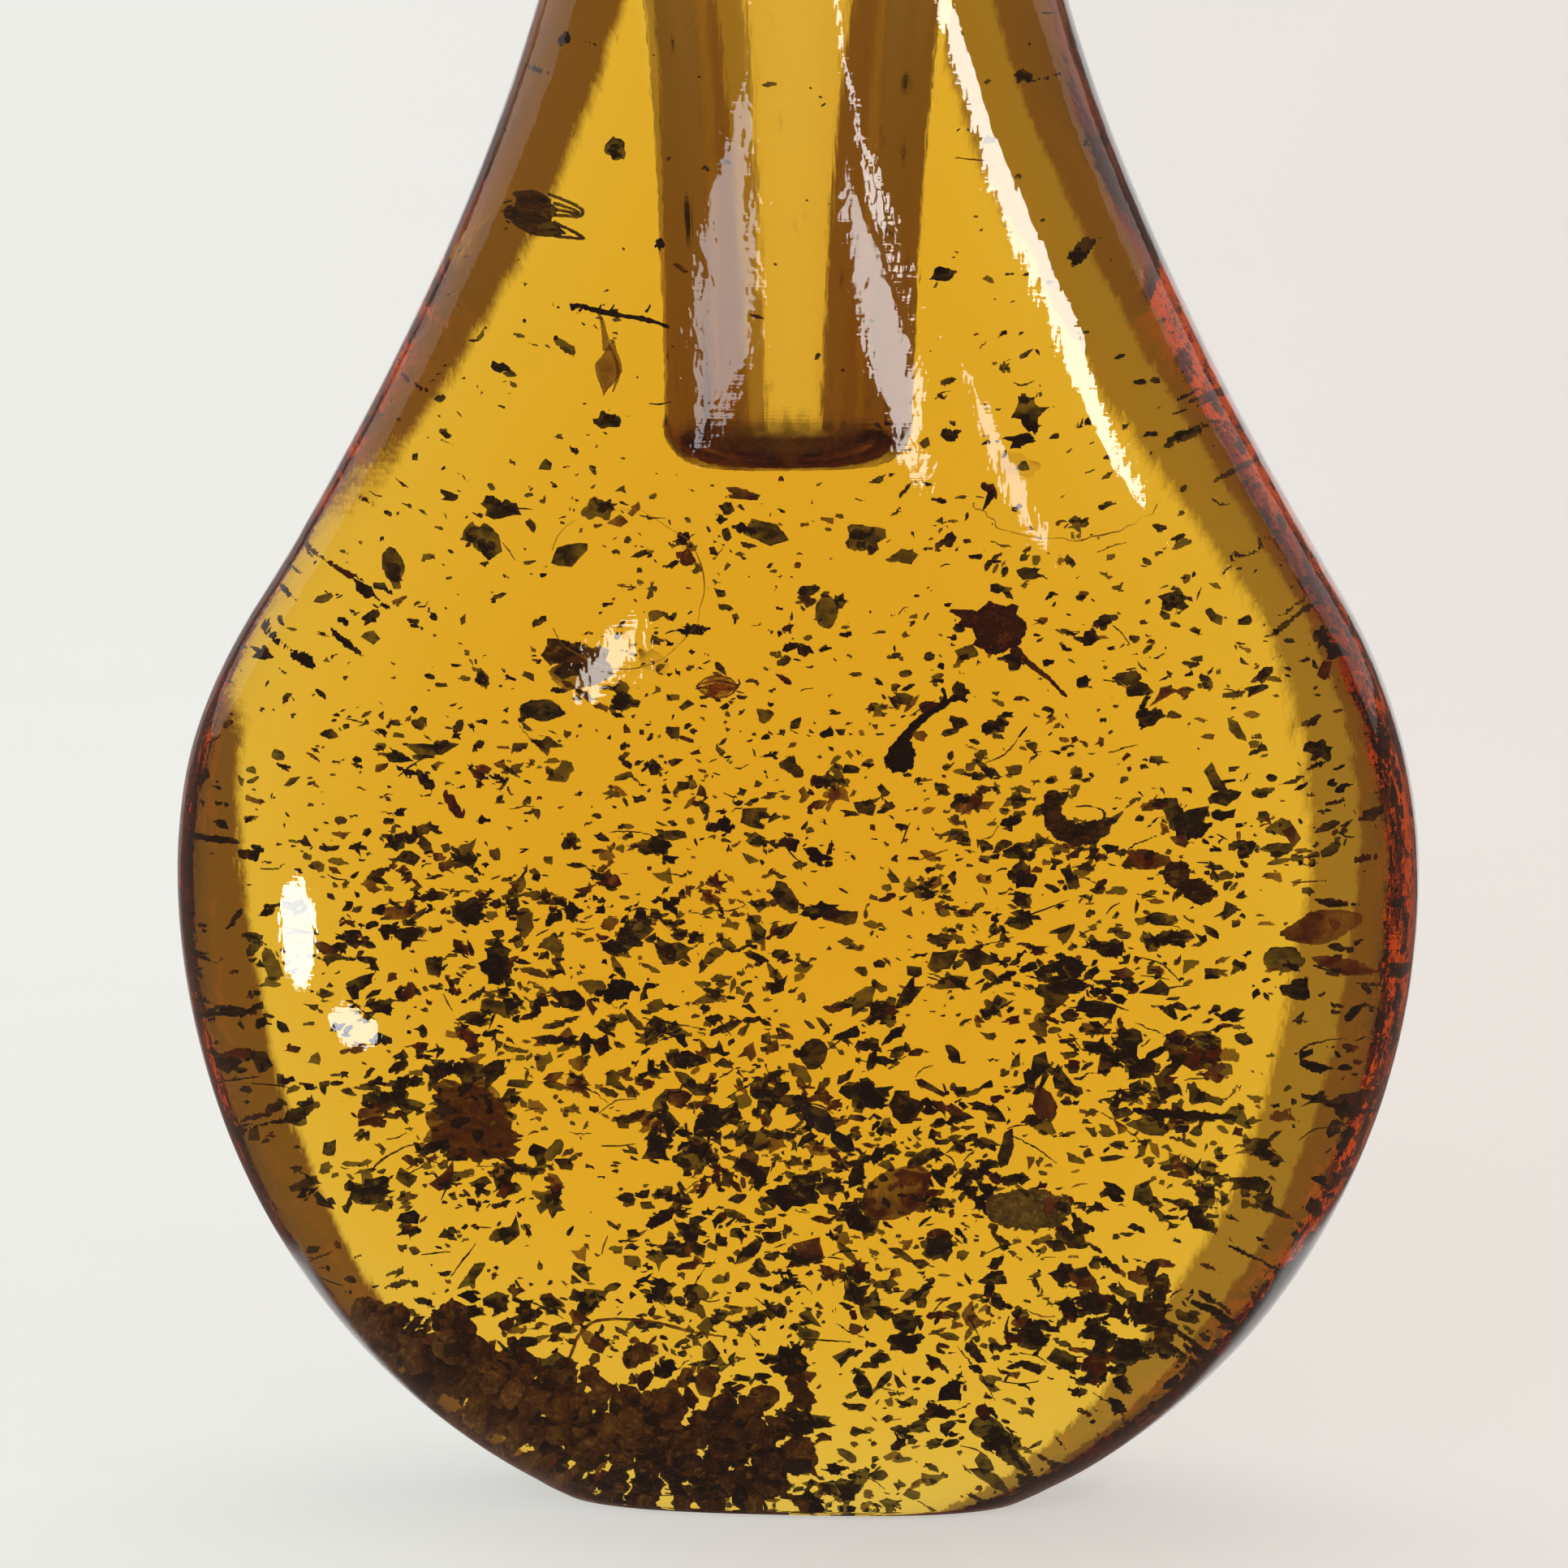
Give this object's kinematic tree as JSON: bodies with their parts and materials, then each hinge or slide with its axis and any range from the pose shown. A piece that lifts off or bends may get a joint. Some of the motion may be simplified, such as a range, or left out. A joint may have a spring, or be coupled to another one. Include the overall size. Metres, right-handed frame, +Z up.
{
  "type": "amber flask",
  "caption": "Flattened pear-shaped flask ground from clear natural amber full of plant debris, with a drilled well down the neck and a pull-out corked stopper.",
  "frame": {"origin": "centre of the flat foot, on the surface that it stands on", "axes": "+Z up the drilled well, +X across the flat front, -Y towards the front"},
  "size_m": [0.045, 0.019, 0.0759],
  "materials": {
    "clear_amber": "polished clear honey amber",
    "dark_horn": "polished dark horn",
    "cork": "fine natural cork",
    "dowel_wood": "turned bamboo",
    "insect_shell": "dull insect shell",
    "twig_wood": "dry twig",
    "red_brown_seed": "thin red-brown seed coat",
    "purple_husk": "leathery husk",
    "orange_seed": "thin orange seed coat",
    "olive_chip": "bark chips and dust",
    "brown_leaf": "rotten leaf and wood",
    "grey_frass": "grey-green insect dropping",
    "bark_dust": "grey-brown bark dust"
  },
  "bodies": {
    "flask": {"amber_flask": "clear_amber", "wing_case": "insect_shell", "neck_twig": "twig_wood", "bud_scale": "red_brown_seed", "stalked_husk": "purple_husk", "orange_seed_coat": "orange_seed", "dark_seed": "olive_chip", "brown_leaf_scrap": "brown_leaf", "hooked_twig": "twig_wood", "curled_grub": "insect_shell", "two_lobed_husk": "brown_leaf", "wood_flake": "brown_leaf", "brown_seed": "red_brown_seed", "grey_pellet": "grey_frass", "oval_pellets": "olive_chip", "lower_twig": "twig_wood", "root_hair": "red_brown_seed", "bark_crust": "bark_dust", "rim_seed": "red_brown_seed", "lower_cone_scale": "brown_leaf", "neck_chips": "olive_chip", "shoulder_chips": "olive_chip", "middle_chips": "olive_chip", "lower_chips": "olive_chip", "base_chips": "olive_chip"},
    "stopper": {"stopper_cap": "clear_amber", "stopper_collar": "dark_horn", "stopper_cork": "cork", "stopper_dowel": "dowel_wood"}
  },
  "joints": [
    {"name": "stopper_lift", "type": "slide", "parent": "flask", "child": "stopper", "axis": [0, 0, 1], "range_m": [0, 0.025]}
  ]
}
